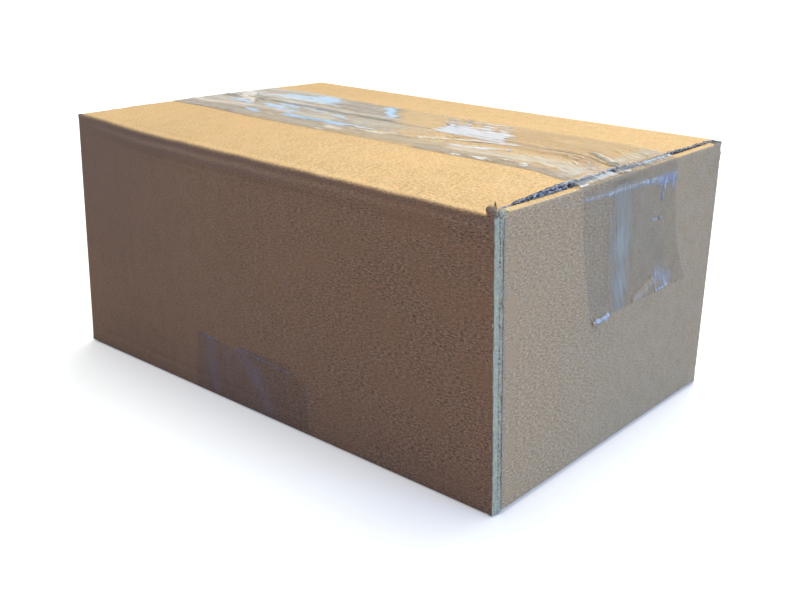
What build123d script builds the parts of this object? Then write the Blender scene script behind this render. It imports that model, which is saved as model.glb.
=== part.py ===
from build123d import *
import os
from math import floor, hypot, radians, tan

# Outside of the closed carton
length = 175.0            # along the long panels, in X
width = 110.0             # along the short panels, in Y
height = 80.0             # from the floor to the folds of the long top flaps

# Corrugated board: a layer of flutes between two paper liners
board = 3.0               # whole thickness
liner = 0.4               # each paper skin, with the glue that holds the flutes
crease = 0.3              # inside radius of every fold
edge_hollow = 1.6         # how far the flutes lie back from a raw end

# Flaps, folded in at the top and at the bottom
seam_gap = 1.0            # between the meeting edges of two long flaps
top_rise = 1.8            # how far the top seam stands above the folds
flap_air = 0.2            # between a long flap and the short flap that it covers
long_slot = 3.4           # from a short panel's face to the raw ends of the long flaps
short_slot = 1.5          # from a long panel's inside to the raw sides of a short flap
short_reach = 53.0        # from a short panel's face to the edge of its flap

# Glued corner: the band of panels ends on a tab that is folded in from its start
tab_width = 28.0          # from the short panel's face to the tab's edge
tab_setback = 5.0         # from the long panel's folds to the tab's cut ends
glue_bed = 0.1            # how far the glued tab is pressed into the long panel's inside
joint_setback = 0.8       # from the short panel's face to the long panel's raw edge

# Clear packing tape
tape_width = 48.0
tape = 0.1                # film and adhesive, with the air under them
tooth_pitch = 3.0         # of the blade that cuts the strip
tooth_depth = 0.7

# Strip along the top seam and down both short panels
top_shift = 2.0           # its middle line, off the seam towards +Y
tent_drop = 5.0           # from the top folds to where it meets the short panels, past the raw flap ends
top_drop = 34.0           # how far its ends reach down from there
top_lean = 13.0           # degrees by which the end on the +X panel leans towards +Y

# Strip across the bottom and up both long panels
bottom_shift = -2.7       # its middle line along X
bottom_climb = 17.8       # how far its ends reach up, at their middle
bottom_skew = 4.6         # by which the cut end on the -Y panel falls towards +X

# Sizes that follow from those above
fold = board + crease                              # outside radius of a fold
mid_fold = crease + board / 2                      # the same at the board's middle
short_top = height - board - flap_air              # upper face of a short top flap
long_flap_length = length - 2 * long_slot
short_flap_width = width - 2 * (board + short_slot)
peak = height + top_rise
tent_foot = height - tent_drop


def long_side(thickness=board):
    """Section in Y and Z of the -Y panel with its flaps: along the floor, up and in to the top seam."""
    slope = top_rise / (width / 2)
    wall = -width / 2 + board / 2
    seam = -seam_gap / 2

    def middle(y):
        return height + slope * (y + width / 2) - board / 2 * hypot(1, slope)

    path = FilletPolyline(
        (seam, board / 2),
        (wall, board / 2),
        (wall, middle(wall)),
        (seam, middle(seam)),
        radius=mid_fold,
    )
    return Plane.YZ * trace(path, thickness)


def short_side():
    """Section in X and Z of the +X panel with its flaps, which lie inside the long ones."""
    wall = length / 2 - board / 2
    edge = length / 2 - short_reach
    high = short_top - board / 2
    low = height - high
    path = FilletPolyline((edge, low), (wall, low), (wall, high), (edge, high), radius=mid_fold)
    return Plane.XZ * trace(path, board)


def corners():
    """What joins the panels: the folded corners, the glued corner and its tab, cut as one band."""
    x = length / 2 - board / 2
    y = width / 2 - board / 2
    tab = board - glue_bed - y
    path = FilletPolyline(
        (length / 2 - joint_setback, -y),
        (-x, -y),
        (-x, y),
        (x, y),
        (x, tab),
        (length / 2 - tab_width, tab),
        radius=mid_fold,
    )
    band = Pos(0, 0, fold) * extrude(trace(path, board), height - 2 * fold)
    band -= Box(length + board, short_flap_width, 3 * height)
    # The tab is shorter than the panel that it is glued to
    beside = Pos(length / 2 - fold, board - width / 2, 0)
    tab_end = Box(tab_width, board, fold + tab_setback, align=(Align.MAX, Align.MIN, Align.MIN))
    band -= beside * (tab_end + Pos(0, 0, height - fold - tab_setback) * tab_end)
    long_wall = Box(long_flap_length, board, 3 * height)
    return band - [Pos(0, side * y, 0) * long_wall for side in (-1, 1)]


def raw_edges():
    """The hollow between the liners where the cut runs along the flutes: flap ends and glued corner."""
    flutes = board - 2 * liner
    end = extrude(long_side(flutes), edge_hollow / 2, both=True)
    end -= Pos(0, 0, height / 2) * Box(length, width, height - 2 * fold)
    ends = [Pos(side * (long_flap_length - edge_hollow) / 2, 0, 0) * end for side in (-1, 1)]
    ends += [mirror(end, Plane.XZ) for end in ends]
    corner = Pos(length / 2 - joint_setback, (board - width) / 2, height / 2)
    return [*ends, corner * Box(2 * edge_hollow, flutes, height)]


def carton():
    """One sheet of board, folded, glued at one corner and closed."""
    long_panel = extrude(long_side(), long_flap_length / 2, both=True)
    short_panel = extrude(short_side(), short_flap_width / 2, both=True)
    body = corners() + long_panel + mirror(long_panel, Plane.XZ) + short_panel + mirror(short_panel, Plane.YZ)
    return body - raw_edges()


def strip_end(left, right, lean=0.0):
    """Outline of a strip's end that hangs from the line y = 0 by left and right, with a toothed cut."""
    half = tape_width / 2
    shift = tan(radians(lean))
    start = Vector(left * shift - half, -left)
    cut = Vector(right * shift + half, -right) - start
    teeth = max(1, floor(cut.length / tooth_pitch))
    points = [(-half, 0), start]
    for tooth in range(teeth):
        points.append(start + cut * ((tooth + 0.5) / teeth) - Vector(0, tooth_depth))
        points.append(start + cut * ((tooth + 1) / teeth))
    return make_face(Polyline(*points, (half, 0), close=True))


def wrapped(lift):
    """The block that the lengthwise strip is drawn over, with every face raised by lift."""
    x, y = length / 2, width / 2
    shoulder = x - long_slot
    along = Polyline(
        (-x, 0), (x, 0), (x, tent_foot), (shoulder, peak), (-shoulder, peak), (-x, tent_foot), close=True
    )
    across = Polyline((-y, 0), (y, 0), (y, height), (0, peak), (-y, height), close=True)
    faces = [offset(make_face(line), lift, kind=Kind.INTERSECTION) for line in (along, across)]
    return extrude(Plane.XZ * faces[0], width, both=True) & extrude(Plane.YZ * faces[1], length, both=True)


def top_tape():
    """The strip along the top seam, down over the raw flap ends and onto both short panels."""
    skin = wrapped(tape) - wrapped(0)
    top = Pos(0, top_shift, tent_foot) * Box(
        length + 4 * tape, tape_width, peak, align=(Align.CENTER, Align.CENTER, Align.MIN)
    )
    foot = (0, top_shift, tent_foot)
    seen = Plane(foot, x_dir=(0, 1, 0), z_dir=(1, 0, 0)) * strip_end(top_drop, top_drop, top_lean)
    hidden = Plane(foot, x_dir=(0, -1, 0), z_dir=(-1, 0, 0)) * strip_end(top_drop, top_drop)
    return skin & (top + extrude(seen, length) + extrude(hidden, length))


def bottom_tape():
    """The strip across the bottom and up both long panels, pressed flush into the board."""
    y = (width - tape) / 2
    climb = bottom_climb + bottom_skew + tooth_depth
    path = FilletPolyline((-y, climb), (-y, tape / 2), (y, tape / 2), (y, climb), radius=fold - tape / 2)
    band = Pos(bottom_shift, 0, 0) * extrude(Plane.YZ * trace(path, tape), tape_width / 2, both=True)
    middle = (bottom_shift, 0, 0)
    low, high = bottom_climb - bottom_skew / 2, bottom_climb + bottom_skew / 2
    seen = Plane(middle, x_dir=(-1, 0, 0), z_dir=(0, -1, 0)) * strip_end(low, high)
    hidden = Plane(middle, x_dir=(1, 0, 0), z_dir=(0, 1, 0)) * strip_end(bottom_climb, bottom_climb)
    return band & (extrude(seen, width) + extrude(hidden, width))


crosswise = bottom_tape()
nodes = {
    "carton": carton() - crosswise,
    "top_tape": top_tape(),
    "bottom_tape": crosswise,
}
os.makedirs("parts", exist_ok=True)
for name, solid in nodes.items():
    solid.label = name
    export_step(solid, f"parts/{name}.step")
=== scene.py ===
import math

import bmesh
import bpy
import numpy as np
from mathutils import Matrix, Vector


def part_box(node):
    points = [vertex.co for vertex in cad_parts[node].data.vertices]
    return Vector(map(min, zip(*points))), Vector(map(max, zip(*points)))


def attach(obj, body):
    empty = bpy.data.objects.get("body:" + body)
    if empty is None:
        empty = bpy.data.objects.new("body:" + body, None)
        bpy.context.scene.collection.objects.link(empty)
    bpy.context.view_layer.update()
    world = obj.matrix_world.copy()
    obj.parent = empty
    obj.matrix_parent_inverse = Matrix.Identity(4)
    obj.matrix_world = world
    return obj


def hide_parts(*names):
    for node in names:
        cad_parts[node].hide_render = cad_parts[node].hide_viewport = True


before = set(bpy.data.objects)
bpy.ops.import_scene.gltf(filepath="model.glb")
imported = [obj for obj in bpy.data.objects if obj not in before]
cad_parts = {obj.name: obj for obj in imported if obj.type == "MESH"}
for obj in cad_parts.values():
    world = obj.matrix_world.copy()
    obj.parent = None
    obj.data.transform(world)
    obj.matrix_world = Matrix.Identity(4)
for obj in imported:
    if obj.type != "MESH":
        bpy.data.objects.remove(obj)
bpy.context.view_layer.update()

# Shapes are worked out in millimetres and written to the meshes in metres
MM = 0.001
carton_low, carton_high = (np.array(corner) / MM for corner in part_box("carton"))
LENGTH, WIDTH = (carton_high - carton_low)[:2]
LEFT_END = -LENGTH / 2
RISE = 1.8  # of the top seam above the folds
HEIGHT = carton_high[2] - RISE  # of the long panels' top folds

# Corrugated board
BOARD = 3.0
FLUTE_PITCH = 6.4
REACH = 3.3  # from a fold's corner to where the bend starts
FOLD_RADIUS = 0.9  # outside, of the long panels' top folds
BASE_RADIUS = 0.5  # of those at the floor
SHORT_RADIUS = 0.45  # of the short panels' folds
CORNER_RADIUS = 0.8  # of the upright folds
TAB_RADIUS = 0.3  # of the one before the glue tab
CREASE_RADIUS = 0.3  # inside every fold
SEAM_GAP = 1.0  # between the edges of the long flaps

# Folds of the short panels, which stand inside those of the long ones
SHORT_TOP = 78.15  # beside the glued corner
SHORT_CLIMB = 1.2  # of the fold from there to the far corner
LEFT_TOP = 79.2  # of the panel at -X
SHORT_BOTTOM = 0.8  # above the floor
SHORT_BEAD = 1.4  # by which the top fold stands above the flap behind it

# Cut edges
RAW_END = LENGTH / 2 - 2.8  # of the long flaps, along X
RAW_SIDE = WIDTH / 2 - 4.6  # of the short flaps, along Y
SHORT_REACH = 53.0  # of a short flap, from its panel
SETBACK = 0.8  # of the glued corner's cut edge
TAB_WIDTH = 28.0
TAB_INSET = 2.75  # of the tab from the face of the panel that it is glued to
TAB_SETBACK = 8.0
HOLLOW = 0.9  # depth of the crushed flutes behind a flap's raw end
CUT_HOLLOW = 0.25  # the same behind the glued corner's cut edge
CUT_SLANT = 0.65  # by which its inner liner stands out past the outer one
CUT_END = 1.5  # how far round the wrap that edge's faces reach
FRAY = 0.3  # by which torn liners wander

# Wear
FOLD_SAG = 1.75  # of the long fold on the -Y side, at its middle
SAG_SLOPE = 0.006  # growth of that towards +X
SAG_START = 42.0  # length over which it begins, from the -X end
SAG_REACH = 12.0  # how far onto the flap it fades
SAG_DROP = 24.0  # the same down the panel
BULGE = 0.5  # of a long panel's middle
SHORT_BULGE = 0.6  # share of that in a short panel's middle
SCORE_DEPTH = 0.22  # of the pressed lines along a long panel's folds
SCORE_START = 40.0  # length over which they begin
RACK = math.radians(-1.542)  # by which the top is turned against the bottom
SPLAY = 0.008  # share by which one corner stands outward, doubled at the top

# Clear tape
TAPE_WIDTH = 48.0
FILM = 0.05  # its thickness
BONDED = 0.04  # between the film and the board that it sticks to
FACE_AIR = 0.02  # more on the short panels
TENT_RUN = 3.2  # of the film over the raw flap ends
STRIP_RUN = TENT_RUN + 36.0  # of the lengthwise strip's ends past them
FACE_TOP = SHORT_TOP - 2.2  # where the film meets the short panel
TOOTH_PITCH, TOOTH_DEPTH = 1.9, 0.5  # of its cuts
HIDDEN_CUT = 41.0  # height of its cut on the -X panel
LOW_LEFT, LOW_RIGHT = -26.9, 21.7  # edges of the crosswise strip
LOW_CLIMB = 20.0  # of its ends, before they are cut
LOW_HIDDEN_CUT = 17.8  # height of its cut on the +Y panel
LOW_PITCH, LOW_DEPTH = 3.0, 0.35  # of its teeth

# Spacing of grid lines: beside the stops, away from them, and over what length it grows
BOARD_LINES = 0.45, 3.2, 9.0
TOP_FLAP_LINES = 0.6, 1.0, 4.0
TOP_STRIP_LINES = 0.3, 0.75, 3.0
LOW_STRIP_LINES = 0.5, 1.2, 8.0
TOP_COLUMNS, LOW_COLUMNS = 97, 81  # of grid lines across the strips


def smooth(x, start, end):
    """0 up to start, 1 from end, and a soft step between them."""
    t = np.clip((np.asarray(x, float) - start) / (end - start), 0, 1)
    return t * t * (3 - 2 * t)


def lerp(a, b, share):
    return a + (b - a) * share


def hump(x, middle, width):
    return np.exp(-(((x - middle) / width) ** 2))


def waver(x, pitch, seed):
    """A smooth wander between about -1 and 1, with swings of about one pitch."""
    rng = np.random.default_rng(seed)
    total = 0
    for octave in range(4):
        turns = x / pitch * 1.7**octave + rng.uniform()
        total = total + np.sin(2 * math.pi * turns) / 1.5**octave
    return total / 2


def ragged(x, pitch, seed):
    """A broken line between -1 and 1, with a corner about every pitch."""
    rng = np.random.default_rng(seed)
    knots = np.arange(-400, 400, pitch)
    knots = knots + rng.uniform(-0.4, 0.4, len(knots)) * pitch
    return np.interp(x, knots, rng.uniform(-1, 1, len(knots)))


def along_line(x, y, line, width):
    """1 on the line between two ends, given as one row, falling off softly over width."""
    start = np.array(line[:2], float)
    run = np.subtract(line[2:], start)
    share = np.clip(((x - start[0]) * run[0] + (y - start[1]) * run[1]) / (run @ run), 0, 1)
    away = np.hypot(x - start[0] - share * run[0], y - start[1] - share * run[1]) / width
    return np.exp(-(away**2) * (1 + 0.5 * away**2))


def turn(t, reach, radius):
    """Along and across, at share t of a square bend of that radius.

    It runs from reach before its corner to reach past it.
    """
    before = reach - radius
    arc = radius * math.pi / 2
    run = t * (2 * before + arc)
    angle = np.clip((run - before) / radius, 0, math.pi / 2)
    along = np.minimum(run, before) + radius * np.sin(angle)
    across = np.maximum(run - before - arc, 0) + radius * (1 - np.cos(angle))
    return along, across


def folded(past, radius, depth):
    """Along and across a fold of the board, by distance past its corner and depth in the board."""
    t = np.clip((past + REACH) / (2 * REACH), 0, 1)
    outer, inner = turn(t, REACH, radius), turn(t, REACH - BOARD, CREASE_RADIUS)
    share = depth / BOARD
    return lerp(outer[0], inner[0], share), lerp(outer[1], inner[1] + BOARD, share)


# The wrap: outside corners of the board in plan, from the glued corner's cut edge to the tab's end
WRAP = np.array([
    (LENGTH / 2 - SETBACK, -WIDTH / 2),
    (LEFT_END, -WIDTH / 2),
    (LEFT_END, WIDTH / 2),
    (LENGTH / 2, WIDTH / 2),
    (LENGTH / 2, TAB_INSET - WIDTH / 2),
    (LENGTH / 2 - TAB_WIDTH, TAB_INSET - WIDTH / 2),
])
LEGS = np.diff(WRAP, axis=0)
LEG_LENGTHS = np.hypot(*LEGS.T)
HEADINGS = LEGS / LEG_LENGTHS[:, None]
INWARD = np.stack([HEADINGS[:, 1], -HEADINGS[:, 0]], axis=1)
TURNS = np.concatenate([[0], np.cumsum(LEG_LENGTHS)])
NEAR, LEFT, FAR, RIGHT, TAB = range(5)
# Distances round it of the long panels' middles
NEAR_MIDDLE, FAR_MIDDLE = WRAP[NEAR][0], TURNS[FAR] + LENGTH / 2


def leg_of(u):
    return np.searchsorted(TURNS[1:-1], u, side="right")


def plan(u, inset=0.0, straight=1.0):
    """Place in plan at distance u round the wrap, inset from the outside.

    The corners are round where straight is 0, as on the panels, and sharp where it is 1, as on the flaps.
    """
    leg = leg_of(u)
    inset = np.zeros_like(u) + inset
    flat = WRAP[leg] + HEADINGS[leg] * (u - TURNS[leg])[..., None] + INWARD[leg] * inset[..., None]
    corner = np.clip(np.round(np.interp(u, TURNS, range(6))).astype(int), 1, 4)
    past = u - TURNS[corner]
    along, across = folded(past, np.where(corner == TAB, TAB_RADIUS, CORNER_RADIUS), inset)
    bent = WRAP[corner] - HEADINGS[corner - 1] * (REACH - along)[..., None]
    bent = bent + HEADINGS[corner] * across[..., None]
    bends = (np.abs(past) < REACH) * (1 - straight)
    return np.moveaxis(lerp(flat, bent, bends[..., None]), -1, 0)


def lengthwise(u):
    """1 on the long panels and 0 on the short ones, which slope up to meet them beside each corner."""
    knots = [TURNS[LEFT], TURNS[LEFT] + 2 * REACH, TURNS[FAR] - 2 * REACH, TURNS[FAR]]
    knots += [TURNS[RIGHT], TURNS[RIGHT] + 2 * REACH]
    return np.interp(u, knots, (1, 0, 0, 1, 1, 0))


def short_top(x, y):
    """Height of a short panel's top fold, crushed towards the glued corner."""
    crushed = SHORT_TOP + SHORT_CLIMB * (0.55 * smooth(y, -30, 5) + 0.45 * smooth(y, 5, 60))
    return np.where(x > 0, crushed, LEFT_TOP)


def crown(x, y):
    """How far the top flaps stand above their folds: most at the seam, pressed down at the ends."""
    pressed = smooth(x, RAW_END - 12, RAW_END) + 0.75 * smooth(-x, 50, RAW_END)
    return RISE * (1 - pressed) * (1 - np.abs(y) / (WIDTH / 2))


def sag(x, y):
    """How far the worn fold on the -Y side has sunk, fading inward over its flap. The +Y fold has not."""
    worn = FOLD_SAG + SAG_SLOPE * x + 0.12 * waver(x, 23, 31)
    worn = worn * smooth(x, LEFT_END, LEFT_END + SAG_START)
    return worn * np.exp(-np.maximum(WIDTH / 2 - REACH + y, 0) / SAG_REACH) * (y < 0)


def swollen(off, v):
    """How far a long panel bulges at height v, with off from 0 at its middle to 1 at its sides."""
    return BULGE * np.clip(1 - off**2, 0, 1) * np.sin(math.pi * np.clip(v / HEIGHT, 0, 1))


def place(u, v, w):
    """Place on the closed carton of a point of the sheet: u round the panels, v up, w into the board."""
    u, v, w = (np.array(part, float) for part in np.broadcast_arrays(u, v, w))
    leg, along = leg_of(u), lengthwise(u)
    flat_x, flat_y = plan(u)
    top = lerp(short_top(flat_x, flat_y), HEIGHT, along)
    bottom = lerp(SHORT_BOTTOM, 0, along)
    high = v > HEIGHT / 2
    crest, sign = np.where(high, top, bottom), np.where(high, 1, -1)
    past = np.where(high, v - HEIGHT, -v)
    flap = smooth(past, -REACH, REACH)

    # The fold
    up, inset = folded(past, lerp(SHORT_RADIUS, np.where(high, FOLD_RADIUS, BASE_RADIUS), along), w)
    inset = inset + np.maximum(past - REACH, 0)
    z = crest - sign * (REACH - up)
    panel = (v - REACH) / (HEIGHT - 2 * REACH)
    z = np.where(past < -REACH, lerp(bottom + REACH, top - REACH, panel), z)

    # Short flaps slope down behind their bead, under the long ones
    bead = np.where(high, top - SHORT_TOP, 0) + SHORT_BEAD
    z -= sign * (1 - along) * bead * smooth(past, REACH - 1, REACH + 2)

    # Swollen panels, and on the long ones pressed lines and the sagging fold
    off = np.where(along > 0.5, flat_x / (LENGTH / 2), flat_y / (WIDTH / 2))
    inset -= swollen(off, v) * lerp(SHORT_BULGE, 1, along) * (leg != TAB)
    below = HEIGHT - v + 0.25 * waver(flat_x, 35, 8)
    fade = 1 - 0.6 * smooth(flat_x, -10, 40)
    scores = 0.9 * hump(below, 2.0, 0.8) - fade * hump(below, 4.0, 0.8) + 0.45 * hump(below, 6.6, 0.7)
    scores = scores + 0.3 * hump(below, 9.0, 0.8) + 0.5 * hump(v, 5, 0.5)
    ribs = 0.35 * np.sin(2 * math.pi * below / 1.4) * hump(below, 5, 3) * smooth(flat_x, 62, 80)
    started = smooth(flat_x, LEFT_END, LEFT_END + SCORE_START)
    inset += SCORE_DEPTH * along * (scores + ribs) * (past < REACH) * started
    depth = WIDTH / 2 - np.clip(inset, 0, WIDTH / 2)
    fold_y = np.where(leg == NEAR, -1, 1) * depth
    sunk = np.where(past > -REACH, 1, 1 - smooth(-past, REACH, SAG_DROP))
    z -= along * sag(flat_x, fold_y) * sunk * high
    z += along * flap * high * crown(flat_x, depth)
    x, y = plan(u, inset, flap)
    return np.stack([x, y, z], axis=-1)


def racked(points):
    """The parcel out of square: its levels turned one against another, and one corner splayed outward."""
    angle = RACK * (points[..., 2] / HEIGHT - 0.5)
    x, y, z = np.moveaxis(points, -1, 0)
    y = y * (1 + (SPLAY + SPLAY * z / HEIGHT) * smooth(x, 0, LENGTH / 2) * (y > 0))
    return np.stack([
        x * np.cos(angle) - y * np.sin(angle),
        x * np.sin(angle) + y * np.cos(angle),
        z,
    ], axis=-1)


def spaced(stops, fine, coarse, spread):
    """Grid lines through every stop, fine beside the stops and coarser away from them."""
    lines = [stops[0]]
    for start, end in zip(stops, stops[1:]):
        run = [0.0]
        while run[-1] < end - start:
            near = max(min(run[-1], end - start - run[-1]), 0)
            run.append(run[-1] + lerp(fine, coarse, min(near / spread, 1)))
        lines.extend(start + np.array(run[1:]) * (end - start) / run[-1])
    return np.array(lines)


def sheet(us, vs, on, spot, rim, recess=None):
    """Points, faces, rim steps and flat places of a closed sheet over the cells of a grid that are on.

    rim lists shares of the thickness from the outer face to the inner one, and recess gives how far back
    the free edge lies at each place and share.
    """
    rows, columns = len(us), len(vs)
    count = rows * columns
    padded = np.zeros((rows + 1, columns + 1))
    padded[1:-1, 1:-1] = on
    a, b, c, d = padded[:-1, :-1], padded[1:, :-1], padded[:-1, 1:], padded[1:, 1:]
    inward = np.sign(b + d - a - c), np.sign(c + d - a - b)
    border = (a + b + c + d > 0) & (a + b + c + d < 4)
    grid = np.meshgrid(us, vs, indexing="ij")
    layers = []
    for share in rim:
        shift = recess(*grid, share) * border if recess else np.zeros(grid[0].shape)
        layer = grid[0] + inward[0] * shift, grid[1] + inward[1] * shift, np.full_like(shift, share)
        layers.append(np.stack(layer, axis=-1).reshape(-1, 3))
    number = np.arange(count).reshape(rows, columns)
    i, j = np.nonzero(on)
    quad = np.stack([number[i, j], number[i + 1, j], number[i + 1, j + 1], number[i, j + 1]], axis=1)
    faces = [quad, quad[:, ::-1] + (len(rim) - 1) * count]
    steps = [np.full(len(quad), -1)] * 2
    i, j = np.nonzero(padded[:-1, 1:-1] != padded[1:, 1:-1])
    edges = [np.stack([number[i, j], number[i, j + 1]], axis=1)]
    i, j = np.nonzero(padded[1:-1, :-1] != padded[1:-1, 1:])
    edges.append(np.stack([number[i, j], number[i + 1, j]], axis=1))
    edges = np.concatenate(edges)
    for step in range(len(rim) - 1):
        low, high = edges + step * count, edges + (step + 1) * count
        faces.append(np.stack([low[:, 0], low[:, 1], high[:, 1], high[:, 0]], axis=1))
        steps.append(np.full(len(edges), step))
    faces, steps = np.concatenate(faces), np.concatenate(steps)
    used, faces = np.unique(faces, return_inverse=True)
    flat = np.concatenate(layers)[used]
    return spot(*flat.T), faces.reshape(-1, 4), steps, flat


def added(name, data):
    """An object of the scene that shows a mesh, a lamp or a camera."""
    made = bpy.data.objects.new(name, data)
    bpy.context.scene.collection.objects.link(made)
    return made


SHARP = math.radians(50)
FIELD_KINDS = {3: ("FLOAT_VECTOR", "vector"), 4: ("FLOAT_COLOR", "color")}


def piece(name, points, faces, finishes, fields, which=None, node=None):
    """A mesh of the parcel on its one body, with fields of vectors or colours for its finishes."""
    mesh = bpy.data.meshes.new(name)
    places = racked(np.asarray(points)) * MM
    mesh.from_pydata(places.tolist(), [], [list(map(int, face)) for face in faces])
    for finish in finishes:
        mesh.materials.append(finish)
    if which is not None:
        mesh.polygons.foreach_set("material_index", which.astype(np.int32))
    for label, values in fields.items():
        kind, part = FIELD_KINDS[values.shape[1]]
        attribute = mesh.attributes.new(label, kind, "POINT")
        attribute.data.foreach_set(part, values.astype(np.float32).ravel())
    whole = bmesh.new()
    whole.from_mesh(mesh)
    bmesh.ops.recalc_face_normals(whole, faces=whole.faces)
    whole.to_mesh(mesh)
    whole.free()
    mesh.polygons.foreach_set("use_smooth", [True] * len(mesh.polygons))
    mesh.set_sharp_from_angle(angle=SHARP)
    mesh.update()
    made = added(name, mesh)
    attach(made, "root")
    if node:
        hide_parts(node)


# Finishes

class Socket:
    """An output socket whose arithmetic adds the nodes for it."""

    def __init__(self, finish, output):
        self.finish, self.output = finish, output

    def math(self, operation, first, second=0.0, clamp=False):
        settings = {"operation": operation, "use_clamp": clamp}
        return self.finish.node("ShaderNodeMath", settings, {0: first, 1: second})

    def __add__(self, other):
        return self.math("ADD", self, other)

    def __sub__(self, other):
        return self.math("SUBTRACT", self, other)

    def __rsub__(self, other):
        return self.math("SUBTRACT", other, self)

    def __mul__(self, other):
        return self.math("MULTIPLY", self, other)

    def __abs__(self):
        return self.math("ABSOLUTE", self)

    def clip(self):
        return self.math("ADD", self, 0.0, clamp=True)

    def above(self, start, end):
        """0 up to start, 1 from end, and a soft step between them."""
        values = {"Value": self, "From Min": start, "From Max": end}
        return self.finish.node("ShaderNodeMapRange", {"interpolation_type": "SMOOTHSTEP"}, values)

    __radd__, __rmul__ = __add__, __mul__


class Finish:
    """The nodes of a material, or of the world."""

    def __init__(self, name, owners="materials"):
        self.owner = getattr(bpy.data, owners).new(name)
        self.owner.use_nodes = True
        self.tree = self.owner.node_tree
        self.tree.nodes.clear()

    def node(self, kind, settings=(), values=(), output=0):
        """Adds a node: its settings first, then its sockets' values or links. Gives one output."""
        made = self.tree.nodes.new(kind)
        for name, value in dict(settings).items():
            setattr(made, name, value)
        for name, value in dict(values).items():
            if isinstance(value, Socket):
                self.tree.links.new(value.output, made.inputs[name])
            else:
                made.inputs[name].default_value = value
        return Socket(self, made.outputs[output]) if made.outputs else None

    def field(self, name, output="Vector"):
        return self.node("ShaderNodeAttribute", {"attribute_name": name}, output=output)

    def noise(self, vector, scale, detail=2.0, roughness=0.5, along=None):
        """Noise over a vector, whose axes may each be scaled first."""
        if along:
            vector = self.node("ShaderNodeVectorMath", {"operation": "MULTIPLY"}, {0: vector, 1: along})
        values = {"Vector": vector, "Scale": scale, "Detail": detail, "Roughness": roughness}
        return self.node("ShaderNodeTexNoise", (), values)

    def part(self, whole, name, kind="XYZ"):
        """One axis of a vector, or with kind Color one channel of a colour."""
        return self.node(f"ShaderNodeSeparate{kind}", (), {0: whole}, name)

    def blend(self, share, first, second, way="MIX"):
        settings = {"data_type": "RGBA", "blend_type": way}
        return self.node("ShaderNodeMix", settings, {0: share, 6: first, 7: second}, 2)

    def bump(self, height, distance, strength=1.0):
        values = {"Height": height, "Distance": distance, "Strength": strength}
        return self.node("ShaderNodeBump", (), values)

    def paper(self, colour, roughness, normal):
        return self.node("ShaderNodeBsdfPrincipled", (), {
            "Base Color": colour,
            "Roughness": roughness,
            "Specular IOR Level": 0.05,
            "Normal": normal,
        })

    def done(self, shader, end="ShaderNodeOutputMaterial"):
        self.node(end, (), {"Surface": shader})
        return self.owner


KRAFT = (0.84, 0.56, 0.278, 1)
KRAFT_DARK = (0.36, 0.215, 0.10, 1)
# Paler kraft, for frayed paper and creases and for painted highlights along the folds
KRAFT_WORN_AND_LIT = (0.66, 0.54, 0.37, 1)
KRAFT_WARM = (0.92, 0.55, 0.25, 1)
# Painted shade of the hollows between the liners and of open flutes
HOLLOW_SHADE = (0.036, 0.042, 0.056, 1)
HOLLOW_GREY = (0.40, 0.40, 0.37, 1)
TORN_PALE = (0.95, 0.91, 0.76, 1)
CUT_GREY = (0.72, 0.59, 0.34, 1)
CUT_PALE = (0.97, 0.84, 0.46, 1)
FILM_PALE = (0.78, 0.74, 0.62, 1)
FILM_DARK = (0.30, 0.25, 0.19, 1)
FILM_CLEAR = (0.960, 0.966, 0.972, 1)

# Depths that the torn finish reads from Z of the blank: of its darker lip, and of plain pale paper
LIP_DEPTH, PALE_DEPTH = 0.1, -6.0


def kraft_finish(name="kraft_liner"):
    """Brown kraft liner: fibres, mottling, faint flutes, and painted shade and painted highlights along
    the folds.
    """
    make = Finish(name)
    blank = make.field("blank")
    wear_and_shading = make.field("wear_and_shading", "Color")
    dark, pale, warm = (make.part(wear_and_shading, channel, "Color") for channel in ("Red", "Green", "Blue"))
    coarse = make.field("wear_and_shading", "Alpha")
    fibres = make.noise(blank, 1.6, 3.0, 0.75, (0.5, 1.45, 1.0))
    grain = make.noise(blank, 3.0, 2.0, 0.75, (0.65, 1.15, 1.0))
    mottle = make.noise(blank, 0.2, 3.0, 0.6)
    cloud = make.noise(blank, 0.03, 2.0, 0.5)
    flutes = fibres.math("SINE", make.part(blank, "X") * (2 * math.pi / FLUTE_PITCH))
    speckle = ((fibres - 0.5) * 1.5 + (grain - 0.5) * 1.2) * (0.75 + coarse * 2.0)
    tone = 1 + speckle + (mottle - 0.5) * 0.40 + (cloud - 0.5) * 0.14 + flutes * 0.008
    colour = make.blend(1.0, KRAFT, tone, "MULTIPLY")
    flecks = (1 - grain).above(0.62, 0.74) * fibres.above(0.45, 0.6) * 0.2
    colour = make.blend(flecks, colour, KRAFT_DARK)
    # Paler places: frayed paper and creases, and painted highlights along the folds
    colour = make.blend((mottle.above(0.5, 0.75) * 0.25 + pale).clip(), colour, KRAFT_WORN_AND_LIT)
    colour = make.blend((cloud.above(0.5, 0.8) * 0.3 + warm).clip(), colour, KRAFT_WARM)
    # Darker places, among them painted shade along the folds
    colour = make.blend((dark * (0.7 + mottle * 0.6)).clip(), colour, KRAFT_DARK)
    relief = fibres * 0.6 + grain * 0.5 + flutes * 0.2
    return make.done(make.paper(colour, 0.8 + (grain - 0.5) * 0.2, make.bump(relief, 0.00012)))


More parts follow.
